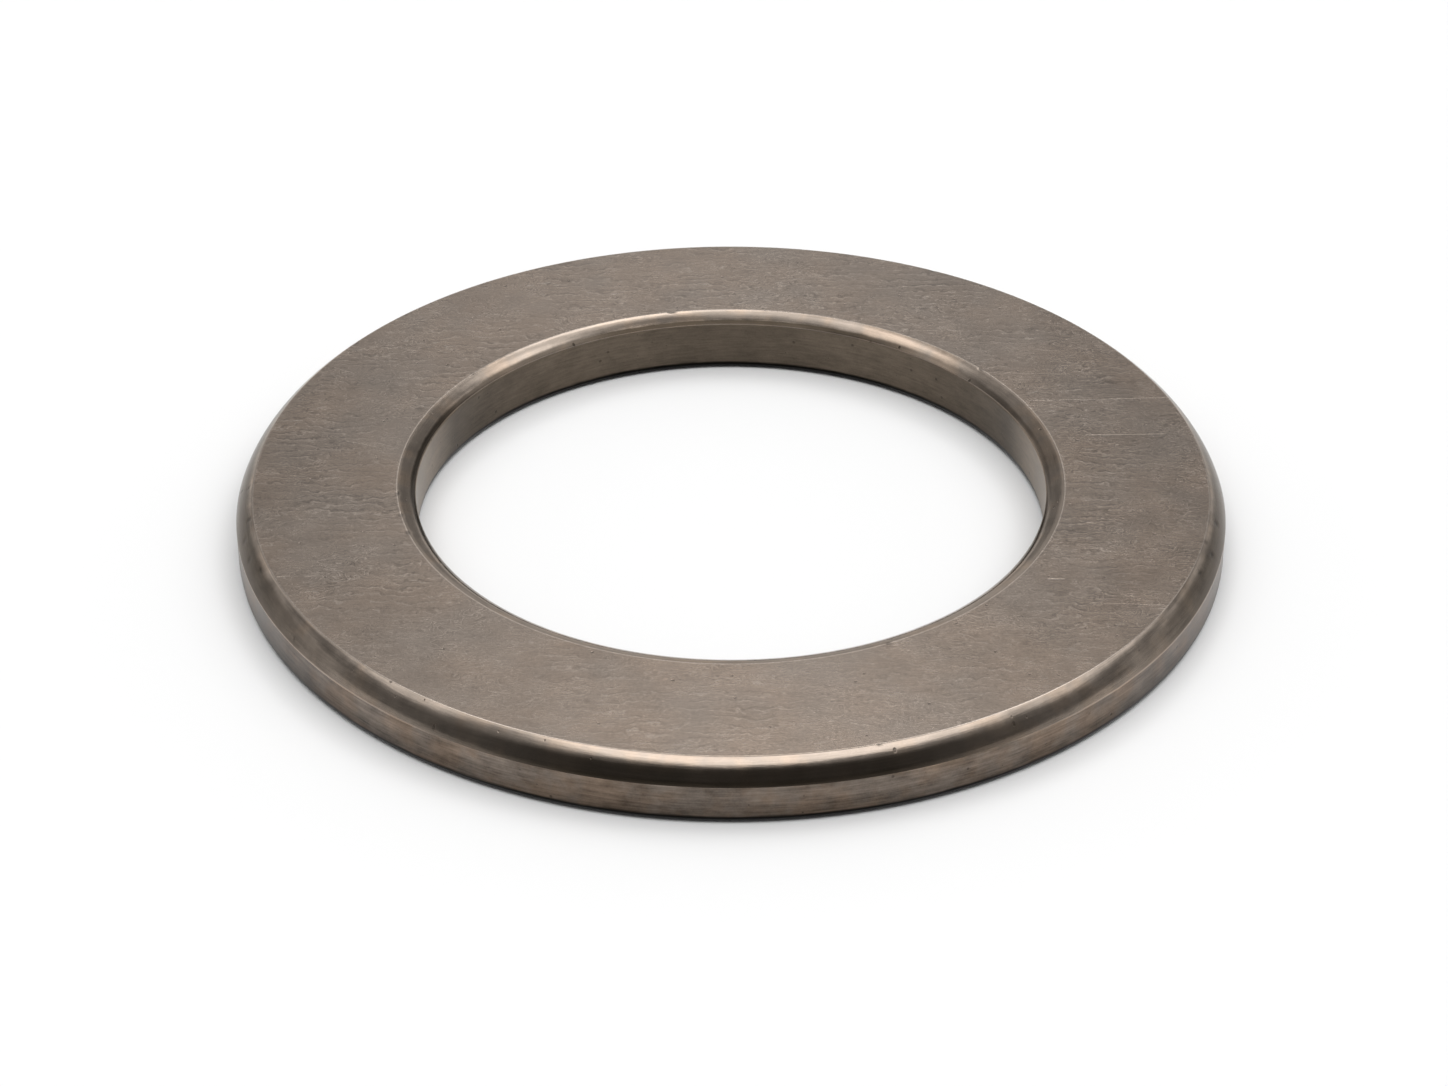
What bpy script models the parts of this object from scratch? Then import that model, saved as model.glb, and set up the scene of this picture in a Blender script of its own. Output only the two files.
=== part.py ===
"""Shaft washer of an axial roller bearing, for a 30 mm shaft.

One flat steel ring, turned, hardened and ground. It lies on its raceway, the
plain face that the rollers run on. Its upper face seats against the shaft's
shoulder, and has the deep roundings that clear the fillets there. The axis of
the ring is Z, and the origin is the middle of the raceway's plane.
"""

import math

import bmesh
import bpy
from mathutils import Vector

# Main sizes of the ring, in metres. The width runs from the bore's wall to the rim, so the ring is 47 mm across.
BORE_DIAMETER = 0.0300
RING_WIDTH = 0.0085
THICKNESS = 0.0030

# Rounding between the upper face and the rim
RIM_ROUND_WIDTH = 0.00082
RIM_ROUND_DEPTH = 0.00107
RIM_ROUND_RADIUS = 0.00230

# Rounding between the upper face and the bore
BORE_ROUND_WIDTH = 0.00086
BORE_ROUND_DEPTH = 0.00043
BORE_ROUND_RADIUS = 0.00130

# Quarter-round edges of the raceway
RIM_EDGE_RADIUS = 0.00040
BORE_EDGE_RADIUS = 0.00040

# Facets of the turned surfaces
TURN_STEPS = 180
ROUND_STEPS = 8
EDGE_STEPS = 4

# Points nearer than this are one and the same
SAME_PLACE = 1e-6

# Ground bearing steel with a warm grey film
STEEL_COLOUR = (0.28, 0.235, 0.20, 1.0)
STEEL_ROUGHNESS = 0.38
STEEL_METALLIC = 1.0


def clear_scene():
    """Remove every object, so that the file holds only the washer."""
    for item in list(bpy.data.objects):
        bpy.data.objects.remove(item, do_unlink=True)


def arc(start, end, radius, steps):
    """Return points from start to end on an arc that bulges to the left of the way between them."""
    chord = end - start
    half = chord.length / 2
    left = Vector((-chord.y, chord.x)).normalized()
    centre = (start + end) / 2 - left * math.sqrt(radius**2 - half**2)
    first = start - centre
    sweep = 2 * math.asin(half / radius)
    points = []
    for step in range(steps + 1):
        turn = -sweep * step / steps
        points.append(centre + Vector((
            first.x * math.cos(turn) - first.y * math.sin(turn),
            first.x * math.sin(turn) + first.y * math.cos(turn),
        )))
    return points


def washer_section():
    """Return the section's four roundings as lists of (radius, height) points, clockwise from the rim's upper one.

    The straight sides between them are the rim's wall, the raceway, the bore's wall and the upper face.
    """
    bore = BORE_DIAMETER / 2
    rim = bore + RING_WIDTH
    rim_round = arc(
        Vector((rim - RIM_ROUND_WIDTH, THICKNESS)),
        Vector((rim, THICKNESS - RIM_ROUND_DEPTH)),
        RIM_ROUND_RADIUS,
        ROUND_STEPS,
    )
    rim_edge = arc(
        Vector((rim, RIM_EDGE_RADIUS)),
        Vector((rim - RIM_EDGE_RADIUS, 0)),
        RIM_EDGE_RADIUS,
        EDGE_STEPS,
    )
    bore_edge = arc(
        Vector((bore + BORE_EDGE_RADIUS, 0)),
        Vector((bore, BORE_EDGE_RADIUS)),
        BORE_EDGE_RADIUS,
        EDGE_STEPS,
    )
    bore_round = arc(
        Vector((bore, THICKNESS - BORE_ROUND_DEPTH)),
        Vector((bore + BORE_ROUND_WIDTH, THICKNESS)),
        BORE_ROUND_RADIUS,
        ROUND_STEPS,
    )
    return [rim_round, rim_edge, bore_edge, bore_round]


def mark_creases(shape, creases):
    """Shade the turned shape smooth, but crisp on the circles where its roundings meet the ground faces."""
    for face in shape.faces:
        face.smooth = True
    for edge in shape.edges:
        first, second = [Vector((corner.co.xy.length, corner.co.z)) for corner in edge.verts]
        runs_round = (first - second).length < SAME_PLACE
        on_crease = any((first - crease).length < SAME_PLACE for crease in creases)
        edge.smooth = not (runs_round and on_crease)


def turn_section(name, roundings):
    """Turn a closed section about Z into a closed mesh."""
    shape = bmesh.new()
    section = [point for rounding in roundings for point in rounding]
    corners = [shape.verts.new((point.x, 0, point.y)) for point in section]
    sides = [shape.edges.new((corners[i - 1], corners[i])) for i in range(len(corners))]
    bmesh.ops.spin(
        shape,
        geom=corners + sides,
        cent=(0, 0, 0),
        axis=(0, 0, 1),
        angle=2 * math.pi,
        steps=TURN_STEPS,
        use_merge=True,
    )
    bmesh.ops.recalc_face_normals(shape, faces=shape.faces)
    mark_creases(shape, [end for rounding in roundings for end in (rounding[0], rounding[-1])])
    mesh = bpy.data.meshes.new(name)
    shape.to_mesh(mesh)
    shape.free()
    return mesh


def bearing_steel():
    """Return the ring's material."""
    steel = bpy.data.materials.new("ground_bearing_steel")
    steel.use_nodes = True
    shader = steel.node_tree.nodes["Principled BSDF"]
    shader.inputs["Base Color"].default_value = STEEL_COLOUR
    shader.inputs["Roughness"].default_value = STEEL_ROUGHNESS
    shader.inputs["Metallic"].default_value = STEEL_METALLIC
    steel.diffuse_color = STEEL_COLOUR
    return steel


def make_washer():
    """Build the one piece, with its raceway on the ground plane."""
    mesh = turn_section("shaft_washer", washer_section())
    mesh.materials.append(bearing_steel())
    washer = bpy.data.objects.new("shaft_washer", mesh)
    bpy.context.scene.collection.objects.link(washer)
    return washer


clear_scene()
make_washer()
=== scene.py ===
"""Looks of the shaft washer: a ground steel ring on a white table.

A light tent with two bright panels lights it, and a low white backdrop stands round the table.
"""

import math

import bpy
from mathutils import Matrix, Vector


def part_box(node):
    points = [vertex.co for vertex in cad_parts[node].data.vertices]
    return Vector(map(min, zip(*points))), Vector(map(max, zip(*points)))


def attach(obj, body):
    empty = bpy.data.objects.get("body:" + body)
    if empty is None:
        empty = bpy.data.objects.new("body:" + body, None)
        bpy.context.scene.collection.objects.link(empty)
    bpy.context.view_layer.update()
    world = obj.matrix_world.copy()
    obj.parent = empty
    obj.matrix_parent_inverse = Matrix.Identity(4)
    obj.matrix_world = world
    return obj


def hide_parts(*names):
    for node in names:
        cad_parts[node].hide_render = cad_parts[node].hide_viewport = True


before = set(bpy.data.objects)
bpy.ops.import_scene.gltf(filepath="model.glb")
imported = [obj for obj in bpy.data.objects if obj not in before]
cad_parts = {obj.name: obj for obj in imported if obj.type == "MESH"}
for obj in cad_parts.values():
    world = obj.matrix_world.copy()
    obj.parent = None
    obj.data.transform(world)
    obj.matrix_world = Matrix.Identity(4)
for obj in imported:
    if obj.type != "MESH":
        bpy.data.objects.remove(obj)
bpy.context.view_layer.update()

NODE = "shaft_washer"

MM_PER_METRE = 1000.0

# Sizes of the ring, in metres. The rim, bore and thickness are read from the CAD node.
LOW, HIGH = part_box(NODE)
RIM_RADIUS = HIGH.x
THICKNESS = HIGH.z - LOW.z
BORE_RADIUS = min(corner.co.xy.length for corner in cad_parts[NODE].data.vertices)
RIM_ROUND_WIDTH = 0.00082
RIM_ROUND_DEPTH = 0.00107
RIM_ROUND_RADIUS = 0.00230
BORE_ROUND_WIDTH = 0.00086
BORE_ROUND_DEPTH = 0.00043
BORE_ROUND_RADIUS = 0.00130
EDGE_RADIUS = 0.00040

# Inputs of the ring's node tree. Softness is the radius that takes the bite off the creases of the two
# upper roundings, at the first and the last end of each, clockwise round the section.
RING_INPUTS = {
    "Bore Radius": BORE_RADIUS,
    "Rim Radius": RIM_RADIUS,
    "Thickness": THICKNESS,
    "Rim Round Width": RIM_ROUND_WIDTH,
    "Rim Round Depth": RIM_ROUND_DEPTH,
    "Rim Round Radius": RIM_ROUND_RADIUS,
    "Bore Round Width": BORE_ROUND_WIDTH,
    "Bore Round Depth": BORE_ROUND_DEPTH,
    "Bore Round Radius": BORE_ROUND_RADIUS,
    "Edge Radius": EDGE_RADIUS,
    "First Crease Softness": 0.00008,
    "Last Crease Softness": 0.00007,
    "Turn Steps": 1200,
    "Round Points": 11,
    "Edge Points": 7,
    "Map Strips": 2,
}

# Points on the straight stretches of the section, and how strongly they are drawn towards their ends
FACE_POINTS = 12
WALL_POINTS = 5
RACEWAY_POINTS = 6
STRETCH_EASE = 0.95

# Points that take the place of each soft crease
CREASE_POINTS = 3

# Each part of the section takes this share of its own step in the order of the points
ORDER_SHARE = 0.9

# Shares of a curve's length, before and after which only its first and its last point lie
FIRST_POINT = 0.01
LAST_POINT = 0.99

# Part of a strip of the texture map that is left empty beside the next strip
STRIP_GAP = 0.02

# Depth of a nick for each metre of its reach
NICK_STEEPNESS = 0.10

# Square of a nick's width over its length
NICK_ASPECT = 0.30

# Flat faces are told from their roundings by this height, and points nearer than this are the same
FLAT_WITHIN = 0.000006
SAME_PLACE = 1e-7

# The four finishes, as the ring's node tree numbers them. Numbers nearer than the last value are the same.
FACE_ZONE = 0
ROUNDING_ZONE = 1
WALL_ZONE = 2
RACEWAY_ZONE = 3
ZONE_WITHIN = 0.1

# Camera, from edges measured in the photograph, which is 1448 pixels wide
PHOTO_WIDTH = 1448
FOCAL_PIXELS = 3534.5
SENSOR_WIDTH = 36.0
CAMERA_ELEVATION = math.radians(33.06)
CAMERA_DISTANCE = 0.1688
CAMERA_TARGET = Vector((-0.000328, -0.001539, 0.0))
CAMERA_NEAREST = 0.01


class Value:
    """A socket's value, on which sums are written as Python expressions."""

    def __init__(self, tree, socket):
        self.tree = tree
        self.socket = socket

    def __add__(self, other):
        return self.tree.math("ADD", self, other)

    def __radd__(self, other):
        return self.tree.math("ADD", other, self)

    def __sub__(self, other):
        return self.tree.math("SUBTRACT", self, other)

    def __rsub__(self, other):
        return self.tree.math("SUBTRACT", other, self)

    def __mul__(self, other):
        return self.tree.math("MULTIPLY", self, other)

    def __rmul__(self, other):
        return self.tree.math("MULTIPLY", other, self)

    def __truediv__(self, other):
        return self.tree.math("DIVIDE", self, other)

    def __rtruediv__(self, other):
        return self.tree.math("DIVIDE", other, self)

    def __neg__(self):
        return self.tree.math("MULTIPLY", self, -1.0)


class Outputs:
    """A node's outputs, by name."""

    def __init__(self, tree, made):
        self.tree = tree
        self.made = made

    def __getitem__(self, name):
        return Value(self.tree, live(self.made.outputs, name))


def live(sockets, name):
    """Return the socket of that name that the node's settings leave in use."""
    return next(socket for socket in sockets if socket.name == name and socket.enabled)


class Tree:
    """Adds nodes to a shader or geometry node tree."""

    def __init__(self, nodes):
        self.tree = nodes

    def node(self, kind, settings=None, inputs=None):
        """Add a node, set its settings and then its sockets, and return its outputs."""
        made = self.tree.nodes.new(kind)
        for name, setting in (settings or {}).items():
            setattr(made, name, setting)
        for name, value in (inputs or {}).items():
            self.feed(live(made.inputs, name), value)
        return Outputs(self, made)

    def feed(self, socket, value):
        """Link a value or a list of values to a socket, or set it to a plain number, vector or colour."""
        if isinstance(value, Value):
            self.tree.links.new(value.socket, socket)
        elif isinstance(value, list):
            for one in value:
                self.tree.links.new(one.socket, socket)
        else:
            socket.default_value = value

    def math(self, operation, *values, clamp=False):
        """The result of one operation on numbers, kept between 0 and 1 where clamp says so."""
        made = self.tree.nodes.new("ShaderNodeMath")
        made.operation = operation
        made.use_clamp = clamp
        for socket, value in zip(made.inputs, values):
            self.feed(socket, value)
        return Value(self, made.outputs[0])

    def vector(self, operation, *values, output="Vector"):
        """The result of one operation on vectors, which is a number where output says Value."""
        made = self.tree.nodes.new("ShaderNodeVectorMath")
        made.operation = operation
        for socket, value in zip(made.inputs, values):
            self.feed(socket, value)
        return Value(self, made.outputs[output])

    def scaled(self, vector, factor):
        """A vector or colour times a number."""
        return self.node("ShaderNodeVectorMath", {"operation": "SCALE"}, {
            "Vector": vector, "Scale": factor,
        })["Vector"]

    def split(self, vector):
        """The three numbers of a vector."""
        parts = self.node("ShaderNodeSeparateXYZ", inputs={"Vector": vector})
        return parts["X"], parts["Y"], parts["Z"]

    def joined(self, x, y, z=0.0):
        """The vector of three numbers."""
        return self.node("ShaderNodeCombineXYZ", inputs={"X": x, "Y": y, "Z": z})["Vector"]

    def ramp(self, value, low, high, start=0.0, end=1.0):
        """Start below low and end above high, with a smooth way between them."""
        return self.node("ShaderNodeMapRange", {"interpolation_type": "SMOOTHSTEP"}, {
            "Value": value, "From Min": low, "From Max": high, "To Min": start, "To Max": end,
        })["Result"]

    def band(self, value, low, low_full, high_full, high):
        """One between the two full values, falling smoothly to nothing outside them."""
        return self.ramp(value, low, low_full) * self.ramp(value, high_full, high, 1.0, 0.0)

    def line(self, value, place, core, reach):
        """One where a value is within core of a place, falling smoothly to nothing at its reach."""
        return self.ramp(self.math("ABSOLUTE", value - place), core, reach, 1.0, 0.0)

    def mix(self, factor, first, second):
        """A blend of two numbers."""
        return self.node("ShaderNodeMix", {"data_type": "FLOAT"}, {
            "Factor": factor, "A": first, "B": second,
        })["Result"]

    def mix_colour(self, factor, first, second):
        """A blend of two colours."""
        return self.node("ShaderNodeMix", {"data_type": "RGBA"}, {
            "Factor": factor, "A": first, "B": second,
        })["Result"]

    def noise(self, place, scale, detail=0.0, roughness=0.5):
        """Smooth noise from 0 to 1, with 0.5 as its middle."""
        return self.node("ShaderNodeTexNoise", None, {
            "Vector": place, "Scale": scale, "Detail": detail, "Roughness": roughness,
        })["Fac"]

    def position(self):
        """The place of each point of a geometry."""
        return self.node("GeometryNodeInputPosition")["Position"]

    def named(self, name):
        """The number that each point or face of a geometry has under a name."""
        return self.node("GeometryNodeInputNamedAttribute", {"data_type": "FLOAT"}, {
            "Name": name,
        })["Attribute"]

    def stored(self, geometry, name, value, domain, data_type="FLOAT"):
        """The geometry with a value stored under a name."""
        return self.node("GeometryNodeStoreNamedAttribute", {"data_type": data_type, "domain": domain}, {
            "Geometry": geometry, "Name": name, "Value": value,
        })["Geometry"]

    def sampled(self, geometry, value, index, data_type="FLOAT"):
        """The value that a geometry has at its point of that index."""
        return self.node("GeometryNodeSampleIndex", {"data_type": data_type}, {
            "Geometry": geometry, "Value": value, "Index": index,
        })["Value"]


# The ring's shape

def turned_ring_tree(finishes):
    """Node tree that draws the section, turns it, lays the texture map and presses in the nicks."""
    group = bpy.data.node_groups.new("turned_ring", "GeometryNodeTree")
    group.interface.new_socket("Geometry", in_out="INPUT", socket_type="NodeSocketGeometry")
    group.interface.new_socket("Geometry", in_out="OUTPUT", socket_type="NodeSocketGeometry")
    for name, value in RING_INPUTS.items():
        kind = "NodeSocketInt" if isinstance(value, int) else "NodeSocketFloat"
        group.interface.new_socket(name, in_out="INPUT", socket_type=kind)
    t = Tree(group)
    given = t.node("NodeGroupInput")
    section = ring_section(t, given)
    ring = turned(t, section, given)
    ring = zoned(t, ring, given)
    ring = nicked(t, ring, given["Geometry"])
    ring = t.node("GeometryNodeSetShadeSmooth", None, {"Geometry": ring, "Shade Smooth": True})["Geometry"]
    ring = t.node("GeometryNodeRealizeInstances", None, {"Geometry": ring})["Geometry"]
    zone = t.named("zone")
    for number, finish in enumerate(finishes):
        chosen = t.node("FunctionNodeCompare", {"data_type": "FLOAT", "operation": "EQUAL"}, {
            "A": zone, "B": float(number), "Epsilon": ZONE_WITHIN,
        })["Result"]
        ring = t.node("GeometryNodeSetMaterial", None, {
            "Geometry": ring, "Selection": chosen, "Material": finish,
        })["Geometry"]
    t.node("NodeGroupOutput", None, {"Geometry": ring})
    return group


def ring_section(t, given):
    """The section, a closed curve of (radius, height) points, clockwise from the rim's rounding."""
    bore, rim, top = given["Bore Radius"], given["Rim Radius"], given["Thickness"]
    edge = given["Edge Radius"]
    corners = [
        (rim - given["Rim Round Width"], top),
        (rim, top - given["Rim Round Depth"]),
        (rim, edge),
        (rim - edge, 0.0),
        (bore + edge, 0.0),
        (bore, edge),
        (bore, top - given["Bore Round Depth"]),
        (bore + given["Bore Round Width"], top),
    ]
    spots = [t.joined(radius, height) for radius, height in corners]
    round_points, edge_points = given["Round Points"], given["Edge Points"]
    soft = (given["First Crease Softness"], given["Last Crease Softness"])
    crisp = (0.0, 0.0)
    curves = [
        rounding(t, spots[0], spots[1], given["Rim Round Radius"], round_points, 0, soft),
        stretch(t, spots[1], spots[2], WALL_POINTS, 1),
        rounding(t, spots[2], spots[3], edge, edge_points, 2, crisp),
        stretch(t, spots[3], spots[4], RACEWAY_POINTS, 3),
        rounding(t, spots[4], spots[5], edge, edge_points, 4, crisp),
        stretch(t, spots[5], spots[6], WALL_POINTS, 5),
        rounding(t, spots[6], spots[7], given["Bore Round Radius"], round_points, 6, soft),
        stretch(t, spots[7], spots[0], FACE_POINTS, 7),
    ]
    joined = t.node("GeometryNodeJoinGeometry", None, {"Geometry": curves})["Geometry"]
    points = t.node("GeometryNodeCurveToPoints", {"mode": "EVALUATED"}, {"Curve": joined})["Points"]
    curve = t.node("GeometryNodePointsToCurves", None, {
        "Points": points, "Weight": t.named("order"),
    })["Curves"]
    closed = t.node("GeometryNodeSetSplineCyclic", None, {"Geometry": curve, "Cyclic": True})["Geometry"]
    return t.node("GeometryNodeFilletCurve", {"mode": "POLY"}, {
        "Curve": closed, "Count": CREASE_POINTS, "Radius": t.named("softness"), "Limit Radius": True,
    })["Curve"]


def rounding(t, start, end, radius, points, order, crease_softness):
    """An arc that bulges to the left of the way from start to end, with the softness of its creases."""
    chord = t.vector("SUBTRACT", end, start)
    half = t.vector("LENGTH", chord, output="Value") / 2
    rise = radius - t.math("SQRT", radius * radius - half * half)
    left = t.vector("NORMALIZE", t.vector("CROSS_PRODUCT", (0, 0, 1), chord))
    middle = t.vector("ADD", t.scaled(t.vector("ADD", start, end), 0.5), t.scaled(left, rise))
    curve = t.node("GeometryNodeCurveArc", {"mode": "POINTS"}, {
        "Resolution": points, "Start": start, "Middle": middle, "End": end,
    })["Curve"]
    factor = t.node("GeometryNodeSplineParameter")["Factor"]
    first = t.math("LESS_THAN", factor, FIRST_POINT) * crease_softness[0]
    last = t.math("GREATER_THAN", factor, LAST_POINT) * crease_softness[1]
    curve = t.stored(curve, "softness", first + last, "POINT")
    return t.stored(curve, "order", order + ORDER_SHARE * factor, "POINT")


def stretch(t, start, end, points, order):
    """Points of a straight line without its ends, thickest near them to keep the shading crisp there."""
    curve = t.node("GeometryNodeCurvePrimitiveLine", None, {"Start": start, "End": end})["Curve"]
    curve = t.node("GeometryNodeResampleCurve", None, {"Curve": curve, "Count": points})["Curve"]
    factor = t.node("GeometryNodeSplineParameter")["Factor"]
    curve = t.stored(curve, "order", order + ORDER_SHARE * factor, "POINT")
    even = ((t.named("order") - order) / ORDER_SHARE * (points - 1) + 1) / (points + 1)
    eased = even - STRETCH_EASE / math.tau * t.math("SINE", math.tau * even)
    way = t.vector("SUBTRACT", end, start)
    place = t.vector("ADD", start, t.scaled(way, eased))
    return t.node("GeometryNodeSetPosition", None, {"Geometry": curve, "Position": place})["Geometry"]


def turned(t, section, given):
    """Turn the section about Z into a closed mesh, with a texture map in strips round the ring."""
    steps, strips = given["Turn Steps"], given["Map Strips"]
    count = t.node("GeometryNodeAttributeDomainSize", {"component": "CURVE"}, {
        "Geometry": section,
    })["Point Count"]
    grid = t.node("GeometryNodeMeshGrid", None, {
        "Size X": 1.0, "Size Y": 1.0, "Vertices X": steps + 1, "Vertices Y": count + 1,
    })["Mesh"]
    across, up, _ = t.split(t.position())
    row = t.math("ROUND", (up + 0.5) * count)
    closing = t.math("GREATER_THAN", row, count - 0.5)
    index = row - closing * count
    along = t.sampled(section, t.node("GeometryNodeSplineParameter")["Factor"], index)
    grid = t.stored(grid, "along", along + closing, "POINT")
    grid = t.stored(grid, "turn", across + 0.5, "POINT")
    grid = t.stored(grid, "row", index, "POINT")
    turn, along = t.named("turn"), t.named("along")
    middle = t.node("GeometryNodeFieldOnDomain", {"data_type": "FLOAT", "domain": "FACE"}, {
        "Value": turn,
    })["Value"]
    strip = t.math("FLOOR", middle * strips)
    flat_place = t.joined(turn * strips - strip, (strip + along * (1 - STRIP_GAP)) / strips)
    grid = t.stored(grid, "OFBake", flat_place, "CORNER", "FLOAT2")
    radius, height, _ = t.split(t.sampled(section, t.position(), t.named("row"), "FLOAT_VECTOR"))
    angle = turn * math.tau
    place = t.joined(radius * t.math("COSINE", angle), radius * t.math("SINE", angle), height)
    ring = t.node("GeometryNodeSetPosition", None, {"Geometry": grid, "Position": place})["Geometry"]
    ring = t.node("GeometryNodeFlipFaces", None, {"Mesh": ring})["Mesh"]
    return t.node("GeometryNodeMergeByDistance", None, {
        "Geometry": ring, "Distance": SAME_PLACE,
    })["Geometry"]


def zoned(t, ring, given):
    """Number each facet with the finish of its surface."""
    x, y, z = t.split(t.position())
    radius = t.math("SQRT", x * x + y * y)
    outside = t.math("GREATER_THAN", radius, (given["Bore Radius"] + given["Rim Radius"]) / 2)
    depth = given["Bore Round Depth"] + outside * (given["Rim Round Depth"] - given["Bore Round Depth"])
    top = given["Thickness"]
    face = t.math("GREATER_THAN", z, top - FLAT_WITHIN)
    round_zone = t.math("GREATER_THAN", z, top - depth) * (1 - face)
    raceway = t.math("LESS_THAN", z, FLAT_WITHIN)
    wall = 1 - face - round_zone - raceway
    zone = face * FACE_ZONE + round_zone * ROUNDING_ZONE + wall * WALL_ZONE + raceway * RACEWAY_ZONE
    return t.stored(ring, "zone", zone, "FACE")


def nicked(t, ring, nicks):
    """Press a dent into the ring at each nick, as wide as its reach and longer round the ring."""
    place = t.position()
    nearest = t.node("GeometryNodeSampleNearest", {"domain": "POINT"}, {
        "Geometry": nicks, "Sample Position": place,
    })["Index"]
    centre = t.sampled(nicks, place, nearest, "FLOAT_VECTOR")
    reach = t.sampled(nicks, t.named("reach"), nearest)
    offset = t.vector("SUBTRACT", place, centre)
    tangent = t.vector("NORMALIZE", t.vector("CROSS_PRODUCT", (0, 0, 1), centre))
    along = t.vector("DOT_PRODUCT", offset, tangent, output="Value")
    distance = t.vector("LENGTH", offset, output="Value")
    away = t.math("SQRT", distance * distance - (1 - NICK_ASPECT) * along * along) / reach
    ring = t.stored(ring, "nick", t.ramp(away, 0.0, 1.0, 1.0, 0.0), "POINT")
    normal = t.node("GeometryNodeInputNormal")["Normal"]
    return t.node("GeometryNodeSetPosition", None, {
        "Geometry": ring, "Offset": t.scaled(normal, -(t.named("nick") * reach * NICK_STEEPNESS)),
    })["Geometry"]


# Small dents on the two roundings and their creases. Each has its radius and height in millimetres, its
# turn in degrees from +X, and its reach in millimetres.
NICKS = [
    (15.86, 3.00, -173.4, 0.20),
    (15.86, 3.00, -166.4, 0.16),
    (15.90, 2.99, -160.8, 0.20),
    (15.88, 3.00, 38.0, 0.14),
    (15.86, 3.00, 101.0, 0.16),
    (15.87, 3.00, -64.0, 0.12),
    (22.90, 2.82, -177.2, 0.16),
    (22.84, 2.87, -170.1, 0.16),
    (23.22, 2.48, -167.1, 0.18),
    (23.24, 2.46, -163.1, 0.16),
    (23.01, 2.72, -159.6, 0.18),
    (23.04, 2.69, -10.0, 0.22),
    (22.75, 2.95, -15.2, 0.16),
    (23.14, 2.57, -16.3, 0.20),
    (22.99, 2.74, -21.0, 0.16),
    (22.70, 2.98, -74.0, 0.12),
    (22.68, 3.00, 62.0, 0.14),
    (22.70, 2.98, 147.0, 0.16),
]


def nick_points():
    """A mesh of loose points at the nicks, with the reach of each."""
    places = []
    reaches = []
    for radius, height, turn, reach in NICKS:
        angle = math.radians(turn)
        place = (radius * math.cos(angle), radius * math.sin(angle), height)
        places.append([length / MM_PER_METRE for length in place])
        reaches.append(reach / MM_PER_METRE)
    mesh = bpy.data.meshes.new("nick_points")
    mesh.from_pydata(places, [], [])
    mesh.attributes.new("reach", "FLOAT", "POINT").data.foreach_set("value", reaches)
    return mesh


def make_ring(finishes):
    """Build the ring with Geometry Nodes and leave it as a plain mesh."""
    maker = bpy.data.objects.new("ring_maker", nick_points())
    bpy.context.scene.collection.objects.link(maker)
    modifier = maker.modifiers.new("turned_ring", "NODES")
    modifier.node_group = turned_ring_tree(finishes)
    for item in modifier.node_group.interface.items_tree:
        if item.name in RING_INPUTS:
            modifier[item.identifier] = RING_INPUTS[item.name]
    seen = maker.evaluated_get(bpy.context.evaluated_depsgraph_get())
    mesh = bpy.data.meshes.new_from_object(seen)
    mesh.name = "ground_ring"
    for name in ("along", "turn", "row", "zone"):
        mesh.attributes.remove(mesh.attributes[name])
    bpy.data.objects.remove(maker, do_unlink=True)
    ring = bpy.data.objects.new("ground_ring", mesh)
    bpy.context.scene.collection.objects.link(ring)
    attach(ring, "root")
    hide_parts(NODE)


# Finishes

# Places on the ring, in millimetres: radii, and heights over the raceway
MIDDLE_RADIUS = (BORE_RADIUS + RIM_RADIUS) / 2 * MM_PER_METRE
TOP = THICKNESS * MM_PER_METRE
FACE_INNER = (BORE_RADIUS + BORE_ROUND_WIDTH) * MM_PER_METRE
FACE_OUTER = (RIM_RADIUS - RIM_ROUND_WIDTH) * MM_PER_METRE
RIM_CREASE = TOP - RIM_ROUND_DEPTH * MM_PER_METRE
BORE_CREASE = TOP - BORE_ROUND_DEPTH * MM_PER_METRE
EDGE_TOP = EDGE_RADIUS * MM_PER_METRE

# The face's strokes are faintest in front of the first of these places along Y, and full behind the second
CALM_BEFORE = -16.0
STROKES_BEHIND = -7.0

# Strokes of the face: long ones for each millimetre, and curls over the whole range of their swirl
LONG_STROKES = 1.7
CURLS = 11.0

# Share of a scratch's half width, and of a dot's radius, that has its full strength
SCRATCH_CORE = 0.3
DOT_CORE = 0.4

# The ring's flanks begin and are full at these shares of its radius to the left or the right
FLANK_FROM = 0.72
FLANK_TO = 0.95

# Heights at which the painted shade low on the roundings is full, and above which there is none
RIM_SHADE_FRONT = (TOP - 0.45, TOP - 0.22)
RIM_SHADE_FLANK = (TOP - 0.30, TOP + 0.02)
BORE_SHADE = (TOP - 0.27, TOP - 0.17)

# The rim's rounding has no pits near its lower crease, and all of them above the second height
PITS_ABOVE = (RIM_CREASE + 0.10, RIM_CREASE + 0.45)

# Heights at which the painted shade along the lower edges, a dark line for the contact shadow under them,
# is full, and above which there is none
EDGE_PAINTED_SHADE = (EDGE_TOP - 0.06, EDGE_TOP + 0.09)

# Height above the lower edge up to which the rim's wall is darker: painted shade, for the shadowed table
# that it reflects
LOW_WALL = 1.1

# Track of the rollers on the raceway, and half the width of its soft border
TRACK_INNER = 16.4
TRACK_OUTER = 22.4
TRACK_BORDER = 0.15

# Colours of the steel, of the painted shade on its roundings and of the darker walls
WARM_STEEL = (0.295, 0.234, 0.189, 1)
COOL_STEEL = (0.272, 0.227, 0.192, 1)
OLIVE_STEEL = (0.270, 0.226, 0.190, 1)
TAN_STEEL = (0.320, 0.252, 0.198, 1)
PALE_STEEL = (0.288, 0.246, 0.212, 1)
PAINTED_SHADE_BROWN = (0.050, 0.038, 0.026, 1)
RIM_WALL_STEEL = (0.158, 0.118, 0.089, 1)
RIM_WALL_COOL = (0.154, 0.127, 0.106, 1)
BORE_WALL_STEEL = (0.096, 0.077, 0.059, 1)

# Tint of the roundings' reflection where they are seen at a low angle
EDGE_TINT = (0.91, 0.88, 0.85, 1)

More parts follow.
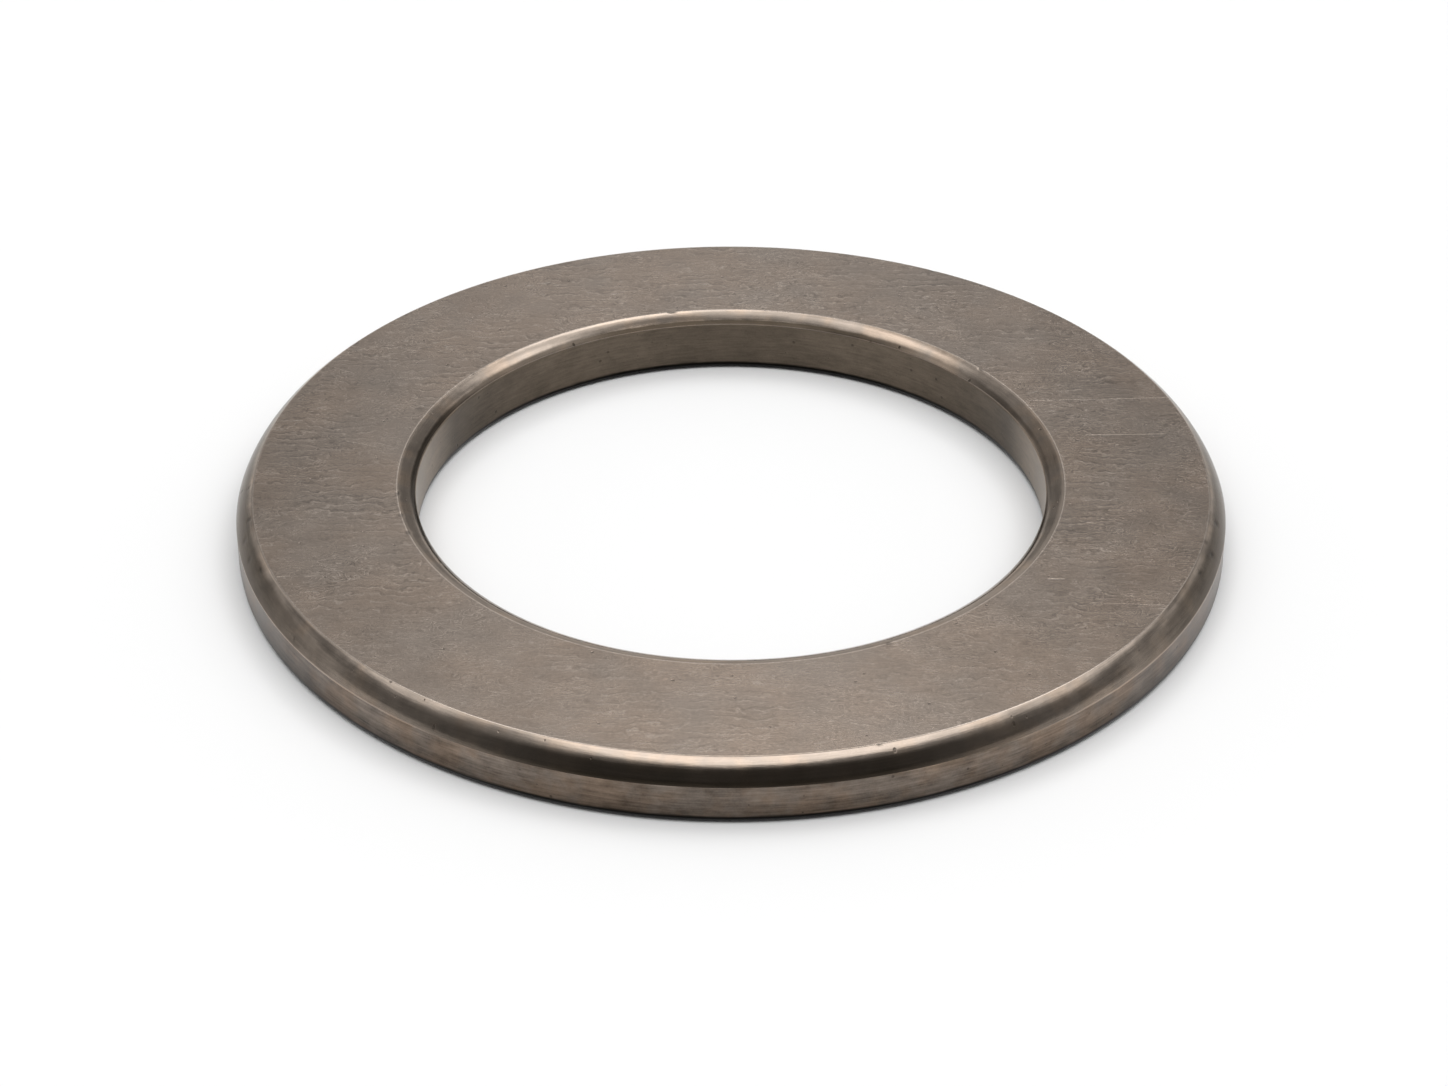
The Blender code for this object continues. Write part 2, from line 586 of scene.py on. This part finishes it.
# Long straight scratches of the face: start, end, half width and strength
SCRATCHES = [
    ((-20.66, -8.99), (-20.10, -8.90), 0.035, 0.9),
    ((16.15, -11.10), (19.51, -11.26), 0.030, 0.5),
    ((14.90, 6.70), (21.60, 7.00), 0.030, 0.7),
    ((17.17, 3.45), (21.06, 3.54), 0.035, 0.8),
    ((13.60, 9.40), (16.90, 9.30), 0.030, 0.5),
    ((-18.55, 2.89), (-17.06, 2.34), 0.035, 0.7),
    ((-19.79, 2.15), (-18.82, 2.06), 0.030, 0.6),
    ((14.40, -9.15), (15.14, -9.15), 0.050, 1.0),
]


def new_material(name):
    """A material with the default nodes."""
    material = bpy.data.materials.new(name)
    material.use_nodes = True
    return material


def start_finish(name):
    """Start a metal finish: its material, node tree, shader and the place on the ring in millimetres."""
    material = new_material(name)
    shader = material.node_tree.nodes["Principled BSDF"]
    shader.inputs["Metallic"].default_value = 1.0
    t = Tree(material.node_tree)
    place = t.scaled(t.node("ShaderNodeTexCoord")["Object"], MM_PER_METRE)
    return material, t, shader, place


def end_finish(t, shader, colour, brightness, roughness, height):
    """Give the shader its colour times a brightness, its roughness, and a relief in millimetres."""
    t.feed(shader.inputs["Base Color"], t.scaled(colour, brightness))
    t.feed(shader.inputs["Roughness"], roughness)
    relief = t.node("ShaderNodeBump", None, {
        "Strength": 1.0, "Distance": 1 / MM_PER_METRE, "Height": height,
    })
    t.feed(shader.inputs["Normal"], relief["Normal"])


def moved(t, place, x, y):
    """The place some millimetres off, where the same noise has another pattern."""
    return t.vector("ADD", place, (x, y, 0))


def stretched(t, place, x, y, z=1.0):
    """The place times a factor along each axis, for marks that are longer along one of them."""
    return t.vector("MULTIPLY", place, (x, y, z))


def ring_radius(t, place):
    """The place's distance from the ring's axis."""
    x, y, _ = t.split(place)
    return t.math("SQRT", x * x + y * y)


def round_the_ring(t, place, along, across):
    """A place for lathe lines: long round the ring, and fine from one side of the section to the other."""
    x, y, z = t.split(place)
    radius = ring_radius(t, place)
    section = z - t.math("ABSOLUTE", radius - MIDDLE_RADIUS)
    return t.joined(x / radius * along, y / radius * along, section * across)


def dots(t, place, scale, size, share):
    """Scattered round marks: cells per millimetre, radius in cells, and share of cells with a mark."""
    cells = t.node("ShaderNodeTexVoronoi", {"voronoi_dimensions": "2D"}, {
        "Vector": place, "Scale": scale,
    })
    picked = t.math("LESS_THAN", t.split(cells["Color"])[0], share)
    return picked * t.ramp(cells["Distance"], size * DOT_CORE, size, 1.0, 0.0)


def line_marks(t, place):
    """Straight scratches between given points of the face."""
    total = 0.0
    for start, end, half_width, strength in SCRATCHES:
        way = Vector(end) - Vector(start)
        from_start = t.vector("SUBTRACT", place, (*start, TOP))
        share = t.vector("DOT_PRODUCT", from_start, (*(way / way.length_squared), 0), output="Value")
        share = t.math("ADD", share, 0.0, clamp=True)
        nearest = t.scaled(t.joined(*way), share)
        away = t.vector("DISTANCE", from_start, nearest, output="Value")
        total = total + strength * t.ramp(away, half_width * SCRATCH_CORE, half_width, 1.0, 0.0)
    return total


def nick_mark(t):
    """How deep a place lies in one of the ring's nicks, from 0 to 1."""
    return t.node("ShaderNodeAttribute", {"attribute_name": "nick"})["Fac"]


def stroke_marks(t, place):
    """Wavy strokes of the grinding, long ones along X and short curls: a light side and a shaded side."""
    x, y, _ = t.split(place)
    loose = t.ramp(t.noise(moved(t, place, 14, 3), 0.25, 1.0), 0.38, 0.62)
    bend = t.noise(t.joined(x * 0.45, y * 0.95), 1.0, 2.0, 0.5) - 0.5
    ripple = t.noise(moved(t, place, 2, 61), 1.7, 2.0, 0.6) - 0.5
    long_phase = t.math("FRACT", y * LONG_STROKES + bend * (2.0 + 3.0 * loose) + ripple * 1.5 + 50)
    swirl = t.noise(t.joined(x * 0.9 + 30, y * 1.5 + bend), 1.0, 1.0, 0.5)
    curl_phase = t.math("FRACT", swirl * CURLS)
    broken = t.ramp(t.noise(t.joined(x * 1.1, y * 3.0, 4.0), 1.0, 2.0, 0.6), 0.36, 0.54)
    kept = t.ramp(t.noise(t.joined(x * 1.3, y * 2.2, 21.0), 1.0, 2.0, 0.6), 0.36, 0.54)
    straight = broken * (1 - 0.5 * loose)
    curled = kept * (0.25 + 0.75 * loose)
    light = straight * t.band(long_phase, 0.02, 0.12, 0.15, 0.27)
    light = light + curled * t.band(curl_phase, 0.0, 0.10, 0.14, 0.28)
    shade = straight * t.band(long_phase, 0.24, 0.36, 0.42, 0.60)
    shade = shade + curled * t.band(curl_phase, 0.25, 0.37, 0.43, 0.62)
    return light, shade


def dash_marks(t, place):
    """Separate short bright dashes along X."""
    bend = t.noise(moved(t, place, 40, 0), 1.4, 0.0) - 0.5
    x, y, _ = t.split(place)
    return t.ramp(t.noise(t.joined(x * 1.3, (y + bend * 0.5) * 8.0, 9.0), 1.0, 1.0), 0.62, 0.74)


def ground_face_steel():
    """The ground upper face: cloudy steel with wavy, curling strokes, dashes, pits and scratches."""
    material, t, shader, place = start_finish("ground_face_steel")
    x, y, _ = t.split(place)
    radius = ring_radius(t, place)
    clouds = t.noise(place, 0.55, 3.0, 0.6) - 0.5
    wide = t.noise(moved(t, place, 31, 7), 0.14, 1.5) - 0.5
    tone = t.noise(moved(t, place, -13, 22), 0.22, 2.0, 0.6)
    grain = t.noise(place, 7.0, 2.0, 0.7) - 0.5
    streaks = t.noise(stretched(t, place, 2.0, 12.0), 1.0, 2.0, 0.6) - 0.5
    patches = t.ramp(t.noise(moved(t, place, 5, 51), 0.30, 1.0), 0.36, 0.60)
    calm = t.ramp(y + 6 * wide, CALM_BEFORE, STROKES_BEHIND, 1.0, 0.0)
    light, shade = stroke_marks(t, place)
    dashes = dash_marks(t, place) * patches * (1 - 0.6 * calm)
    pits = dots(t, place, 0.7, 0.050, 0.16) + dots(t, moved(t, place, 9, 4), 0.35, 0.032, 0.30)
    specks = dots(t, stretched(t, moved(t, place, 3, 8), 0.5, 1.0), 1.1, 0.075, 0.09)
    scratches = line_marks(t, place)
    side = t.math("ABSOLUTE", x) / radius
    # Light lines along the face's edges: partly wear, partly a painted highlight, as the outer one is
    # stronger towards the left and right
    outer_edge_highlight = t.line(radius, FACE_OUTER, 0.01, 0.08) * t.ramp(side, 0.20, 0.50, 0.4, 1.1)
    wear_and_highlight = t.line(radius, FACE_INNER, 0.01, 0.09) + outer_edge_highlight
    depth = (0.58 + 0.55 * patches) * (1 - 0.45 * calm)
    brightness = 0.97 + 0.28 * clouds + 0.16 * wide + 0.46 * grain + 0.28 * streaks
    brightness = brightness + (0.27 * light - 0.22 * shade) * depth + 0.20 * dashes
    brightness = brightness - 0.40 * pits + 0.25 * specks + 0.42 * scratches
    brightness = brightness + 0.60 * wear_and_highlight - 0.55 * nick_mark(t)
    colour = t.mix_colour(t.ramp(tone, 0.28, 0.72), COOL_STEEL, WARM_STEEL)
    marks = t.math("ADD", 0.5 * light + dashes, scratches + wear_and_highlight, clamp=True)
    colour = t.mix_colour(marks, colour, PALE_STEEL)
    roughness = 0.25 + 0.10 * clouds + 0.10 * streaks - 0.04 * wear_and_highlight + 0.10 * pits
    height = (0.0009 * light - 0.0007 * shade) * depth + 0.0010 * dashes
    height = height - 0.005 * pits - 0.003 * scratches
    height = height + 0.0011 * streaks + 0.0006 * grain + 0.004 * clouds
    end_finish(t, shader, colour, brightness, roughness, height)
    return material


def rounding_steel():
    """The hard-turned roundings: smoother steel with lathe lines, tan patches and pits, with painted shade
    in dark brown low on them and painted highlights along some creases.
    """
    material, t, shader, place = start_finish("hard_turned_rounding_steel")
    shader.inputs["Specular Tint"].default_value = EDGE_TINT
    x, _, z = t.split(place)
    radius = ring_radius(t, place)
    outside = t.math("GREATER_THAN", radius, MIDDLE_RADIUS)
    to_left = -x / radius
    to_right = x / radius
    side = t.math("ABSOLUTE", x) / radius
    lathe = t.noise(round_the_ring(t, place, 5.0, 15.0), 1.0, 1.5, 0.6) - 0.5
    band = t.noise(round_the_ring(t, place, 14.0, 3.5), 1.0, 3.0, 0.6) - 0.5
    clouds = t.noise(place, 0.8, 3.0, 0.6) - 0.5
    grain = t.noise(place, 16.0, 1.0) - 0.5
    tan = t.ramp(t.noise(moved(t, place, 17, 3), 0.45, 3.0, 0.6), 0.46, 0.64)
    pits = dots(t, place, 0.6, 0.06, 0.30) + dots(t, moved(t, place, 6, 2), 1.5, 0.07, 0.10)
    pits = pits * t.ramp(z, *PITS_ABOVE)
    # Painted highlights: a light line along the rim's lower crease on the flanks, and one along the rim's
    # upper edge on the left
    rim_crease_highlight = t.line(z, RIM_CREASE, 0.01, 0.05) * t.ramp(side, 0.45, 0.80) * outside
    bore_line = t.line(z, BORE_CREASE, 0.02, 0.07) * (1 - outside)
    top_edge_highlight = t.line(radius, FACE_OUTER, 0.03, 0.10) * t.band(to_left, 0.66, 0.82, 0.90, 0.97)
    # Painted shade: a dark brown laid over the low part of both roundings
    painted_shade = rounding_painted_shade(t, z, side, to_left, to_right, outside, bore_line, 0.12 * clouds)
    mottle = t.ramp(side, 0.30, 0.70, 0.42, 1.0)
    cloudy = t.mix(outside, 0.60, 0.95 * mottle) * clouds
    banded = t.mix(outside, 0.45, 0.72 * mottle) * band
    brightness = 1.0 + cloudy + banded + 0.32 * lathe + 0.14 * grain
    brightness = brightness - 0.5 * pits - 0.75 * nick_mark(t)
    # Darker and browner where the painted shade lies
    brightness = brightness * (1 - painted_shade * 0.5)
    brightness = brightness + 0.85 * rim_crease_highlight + 0.2 * bore_line + 1.2 * top_edge_highlight
    steel = t.mix_colour(tan * t.mix(outside, 0.9, 0.7), OLIVE_STEEL, TAN_STEEL)
    colour = t.mix_colour(painted_shade, steel, PAINTED_SHADE_BROWN)
    roughness = 0.155 + 0.10 * clouds + 0.10 * lathe + 0.08 * painted_shade + 0.15 * pits + 0.30 * bore_line
    height = 0.0006 * lathe + 0.004 * band + 0.004 * clouds + 0.0004 * grain - 0.006 * pits
    end_finish(t, shader, colour, brightness, roughness, height)
    return material


def rounding_painted_shade(t, z, side, to_left, to_right, outside, bore_line, wander):
    """How strong the painted shade is on the roundings: a dark brown that lies low on them, as their dark
    reflection there, and is weaker on the flanks.
    """
    flank = t.ramp(side, FLANK_FROM, FLANK_TO)
    shade_low = t.mix(flank, RIM_SHADE_FRONT[0], RIM_SHADE_FLANK[0])
    shade_high = t.mix(flank, RIM_SHADE_FRONT[1], RIM_SHADE_FLANK[1])
    rim_less_shade = 0.52 * t.band(side, 0.25, 0.60, 0.72, 0.96) - 0.04 * t.ramp(side, 0.88, 0.99)
    at_crease = t.ramp(z, RIM_CREASE + 0.12, RIM_CREASE + 0.32, 1.0, 0.0)
    at_crease = at_crease * t.ramp(side, 0.40, 0.70, 1.0, 0.0)
    rim_shade = t.ramp(z + wander, shade_low, shade_high, 1.0, 0.0)
    rim_shade = rim_shade * (0.75 - rim_less_shade + 0.16 * at_crease)
    bore_less_shade = 0.26 * t.band(to_left, 0.35, 0.60, 0.88, 0.99) + 0.47 * t.ramp(to_right, 0.35, 0.75)
    bore_shade = t.ramp(z + wander * 0.5, *BORE_SHADE, 1.0, 0.0)
    bore_shade = bore_shade * (0.92 - bore_less_shade) * (1 - 0.5 * bore_line)
    bore_shade = t.math("MAXIMUM", bore_shade, 0.15 * t.ramp(side, 0.88, 0.98))
    return t.mix(outside, bore_shade, rim_shade)


def turned_wall_steel():
    """The rim's and the bore's walls: darker turned steel, cloudy, with long streaks and worn creases, a
    painted highlight along the rim's crease on the flanks, painted shade low on the rim's wall and along
    the lower edges, and painted light on the bore's flanks.
    """
    material, t, shader, place = start_finish("turned_wall_steel")
    x, y, z = t.split(place)
    radius = ring_radius(t, place)
    outside = t.math("GREATER_THAN", radius, MIDDLE_RADIUS)
    side = t.math("ABSOLUTE", x) / radius
    streaks = t.noise(round_the_ring(t, place, 12.0, 9.0), 1.0, 3.0, 0.6) - 0.5
    lathe = t.noise(round_the_ring(t, place, 9.0, 34.0), 1.0, 1.0) - 0.5
    clouds = t.noise(stretched(t, place, 0.75, 0.75, 1.1), 1.0, 4.0, 0.65) - 0.5
    tone = t.noise(moved(t, place, 8, -31), 0.45, 3.0, 0.6)
    grain = t.noise(place, 15.0, 1.0) - 0.5
    unrolled = t.joined(t.math("ARCTAN2", y, x) * radius, z)
    pits = dots(t, unrolled, 0.6, 0.06, 0.30) + dots(t, moved(t, unrolled, 7, 3), 1.3, 0.06, 0.12)
    # Worn rim crease, made brighter only towards the flanks: partly wear, partly a painted highlight
    wear_and_highlight = t.line(z, RIM_CREASE, 0.02, 0.08) * outside
    bore_line = t.line(z, BORE_CREASE, 0.02, 0.07) * (1 - outside)
    # Painted shade: the rim's wall grows darker towards its lower edge
    low = t.ramp(z, EDGE_TOP, EDGE_TOP + LOW_WALL, 1.0, 0.0) * outside
    # Painted shade: nearly black along the lower edges, standing in for the contact shadow under them
    edge_painted_shade = t.ramp(z + 0.1 * streaks, *EDGE_PAINTED_SHADE, 1.0, 0.0)
    # Painted light: the bore's wall is brighter towards its left and right flanks, for the table it
    # reflects there
    bore_flank_light = t.ramp(side, 0.90, 0.99) * (1 - outside)
    marks = (1.60 * clouds + 1.30 * streaks + 0.22 * lathe) * t.mix(outside, 0.55, 1.0)
    brightness = 1.0 + marks + 0.32 * grain
    # Painted shade low on the rim's wall, and painted light part way towards each flank
    brightness = brightness * (1 - 0.36 * low) * (1 + 0.22 * t.band(side, 0.10, 0.45, 0.60, 0.85))
    brightness = brightness + 1.1 * t.ramp(side, 0.45, 0.80) * wear_and_highlight + 0.35 * bore_line - 0.45 * pits
    brightness = brightness * (1 - 0.97 * edge_painted_shade) * (1 + 1.55 * bore_flank_light)
    rim_colour = t.mix_colour(t.ramp(tone, 0.40, 0.62), RIM_WALL_STEEL, RIM_WALL_COOL)
    colour = t.mix_colour(outside, BORE_WALL_STEEL, rim_colour)
    roughness = 0.32 + 0.14 * clouds + 0.10 * streaks - 0.10 * wear_and_highlight + 0.20 * bore_line
    height = 0.0010 * lathe + 0.003 * streaks + 0.0006 * grain - 0.006 * pits
    end_finish(t, shader, colour, brightness, roughness, height)
    return material


def ground_raceway_steel():
    """The plain underside: fine ground lines round the ring, and a smoother track where rollers run."""
    material, t, shader, place = start_finish("ground_raceway_steel")
    radius = ring_radius(t, place)
    lines = t.noise(round_the_ring(t, place, 6.0, 30.0), 1.0, 2.0, 0.6) - 0.5
    bands = t.noise(round_the_ring(t, place, 1.5, 2.2), 1.0, 2.0, 0.6) - 0.5
    clouds = t.noise(place, 0.5, 3.0, 0.55) - 0.5
    grain = t.noise(place, 15.0, 1.0) - 0.5
    pits = dots(t, place, 0.8, 0.07, 0.30)
    inner = (TRACK_INNER - TRACK_BORDER, TRACK_INNER + TRACK_BORDER)
    outer = (TRACK_OUTER - TRACK_BORDER, TRACK_OUTER + TRACK_BORDER)
    track = t.band(radius + 0.3 * clouds, *inner, *outer)
    brightness = 0.96 + 0.22 * lines + 0.14 * bands + 0.26 * clouds
    brightness = brightness + 0.14 * grain + 0.10 * track - 0.4 * pits
    colour = t.mix_colour(track * 0.6, WARM_STEEL, COOL_STEEL)
    roughness = 0.34 + 0.10 * lines + 0.06 * clouds - 0.10 * track
    height = 0.0008 * lines + 0.002 * clouds + 0.0005 * grain - 0.006 * pits
    end_finish(t, shader, colour, brightness, roughness, height)
    return material


# Light tent and table

# Strengths of the tent's panels and glows, and of its dark cloth low in front
BACK_PANEL = 1.5
FRONT_PANEL = 2.75
SIDE_GLOW = 1.5
LOW_GLOW = 0.65
DARK_FRONT = 0.25

# Extra strengths of the back panel's three bright spots
TOP_SPOT = 2.4
RIGHT_SPOT = 1.4
LEFT_SPOT = 0.8

# Lowest sine of a direction's height that the panels' places are worked out with
LOWEST_UP = 0.02

# Keeps the divisor of level directions above nothing straight overhead
TINY = 1e-6

# Top of the white backdrop, as the sine of its height over the table, and the soft border above it
BACKDROP_TOP = 0.105
BACKDROP_BORDER = 0.04

TABLE_COLOUR = (0.845, 0.845, 0.845, 1)
TABLE_ROUGHNESS = 0.9
TABLE_REACH = 4.0


def tent_light(t, way):
    """Brightness of the tent by direction. Panels lie by x/z and y/z, as on a ceiling one unit up."""
    x, y, z = t.split(way)
    up = t.math("MAXIMUM", z, LOWEST_UP)
    px, py = x / up, y / up
    far = t.math("ABSOLUTE", px)
    flat = t.math("SQRT", x * x + y * y + TINY)
    right = t.ramp(px, -0.05, 0.05)
    panels = t.math("MAXIMUM", back_panel(t, px, py, far), front_panel(t, py, far, right))
    side_glow = t.band(far, 0.45 + 0.35 * right, 0.80 + 0.18 * right, 1.05, 1.55 + 0.35 * right)
    side_glow = side_glow * t.band(py, -0.35, -0.05, 0.15 + 0.45 * right, 0.50 + 0.50 * right)
    low_glow = t.ramp(t.math("ABSOLUTE", x) / flat, 0.55, 0.80) * t.ramp(y, 0.0, 0.12)
    low_glow = low_glow * t.band(z, 0.08, 0.16, 0.30, 0.42)
    lit = LOW_GLOW * low_glow + t.math("MAXIMUM", panels, SIDE_GLOW * side_glow)
    return tent_base(t, x, y, z, flat) + lit


def tent_base(t, x, y, z, flat):
    """The tent's cloth: brighter overhead, dark low in front, and with a lit strip behind the ring."""
    front = -y / flat
    overhead = t.ramp(z, 0.45, 0.85, 0.37, 0.50)
    dark_top = 0.33 + 0.42 * t.math("MAXIMUM", front, 0.0)
    low = t.ramp(z / dark_top, 0.85, 1.10, 1.0, 0.0)
    base = t.mix(low * t.ramp(front, 0.0, 0.7), overhead, DARK_FRONT)
    behind = t.ramp(y, 0.30, 0.60) * t.ramp(z, 0.62, 0.80, 1.0, 0.0)
    strip = t.line(x / flat, -0.018, 0.070, 0.140)
    return base + behind * (0.05 + 0.42 * strip)


def back_panel(t, px, py, far):
    """The panel behind, an arch that stands lower to its sides and is brightest in three spots."""
    to_left = t.ramp(px, -0.10, 0.0, 1.0, 0.0)
    to_right = t.ramp(px, 0.0, 0.10)
    arch = py + 0.9 * far
    rise = t.ramp(arch, 0.35 * to_left + 0.72 * to_right - 0.35, 0.62 + 0.26 * (to_left + to_right))
    fall = t.ramp(arch, 1.17 - 0.37 * to_left, 1.26 - 0.08 * to_left, 1.0, 0.0)
    ends = t.ramp(far, 0.95 - 0.55 * to_left, 1.25 - 0.35 * to_left, 1.0, 0.0)
    top_spot = TOP_SPOT * t.band(px, -0.02, 0.03, 0.09, 0.15) * t.ramp(arch, 0.75, 0.95)
    right_spot = RIGHT_SPOT * t.band(px, 0.30, 0.42, 0.58, 0.80) * t.ramp(arch, 0.88, 1.04, 1.0, 0.0)
    left_spot = LEFT_SPOT * t.band(px, -0.50, -0.35, -0.12, -0.05)
    return (BACK_PANEL + top_spot + right_spot + left_spot) * rise * fall * ends


def front_panel(t, py, far, right):
    """The panel in front, which the rim's rounding shows as a bright band."""
    ends = t.ramp(far, 0.30 + 0.20 * right, 0.80 + 0.40 * right, 1.0, 0.0)
    return FRONT_PANEL * ends * t.band(py - 0.5 * far, -1.00, -0.70, -0.30, -0.18)


def make_tent():
    """The light tent, and a low backdrop round the table that camera, metal and glass see as white."""
    world = bpy.data.worlds.new("light_tent")
    bpy.context.scene.world = world
    world.use_nodes = True
    world.node_tree.nodes.clear()
    t = Tree(world.node_tree)
    way = t.node("ShaderNodeTexCoord")["Generated"]
    height = t.split(way)[2]
    path = t.node("ShaderNodeLightPath")
    seen = path["Is Camera Ray"] + path["Is Glossy Ray"] + path["Is Transmission Ray"]
    backdrop = t.ramp(height, BACKDROP_TOP, BACKDROP_TOP + BACKDROP_BORDER, 1.0, 0.0)
    white = t.math("MINIMUM", seen, 1.0) * backdrop
    strength = t.mix(white, tent_light(t, way), 1.0)
    sky = t.node("ShaderNodeBackground", None, {"Color": (1, 1, 1, 1), "Strength": strength})["Background"]
    t.node("ShaderNodeOutputWorld", None, {"Surface": sky})


def make_table():
    """The white table that the ring lies on."""
    mesh = bpy.data.meshes.new("table")
    reach = TABLE_REACH
    corners = [(-reach, -reach, 0), (reach, -reach, 0), (reach, reach, 0), (-reach, reach, 0)]
    mesh.from_pydata(corners, [], [(0, 1, 2, 3)])
    table = bpy.data.objects.new("table", mesh)
    bpy.context.scene.collection.objects.link(table)
    material = new_material("white_table")
    shader = material.node_tree.nodes["Principled BSDF"]
    shader.inputs["Base Color"].default_value = TABLE_COLOUR
    shader.inputs["Roughness"].default_value = TABLE_ROUGHNESS
    shader.inputs["Specular IOR Level"].default_value = 0.0
    mesh.materials.append(material)


def make_camera():
    """The camera, which looks down at the ring from the front."""
    lens = bpy.data.cameras.new("camera")
    lens.sensor_width = SENSOR_WIDTH
    lens.lens = FOCAL_PIXELS * SENSOR_WIDTH / PHOTO_WIDTH
    lens.clip_start = CAMERA_NEAREST
    camera = bpy.data.objects.new("camera", lens)
    back = Vector((0, -math.cos(CAMERA_ELEVATION), math.sin(CAMERA_ELEVATION)))
    camera.location = CAMERA_TARGET + back * CAMERA_DISTANCE
    camera.rotation_euler = (math.pi / 2 - CAMERA_ELEVATION, 0, 0)
    bpy.context.scene.collection.objects.link(camera)
    bpy.context.scene.camera = camera


bpy.context.scene.view_settings.view_transform = "Standard"
make_camera()
make_tent()
make_table()
make_ring([ground_face_steel(), rounding_steel(), turned_wall_steel(), ground_raceway_steel()])
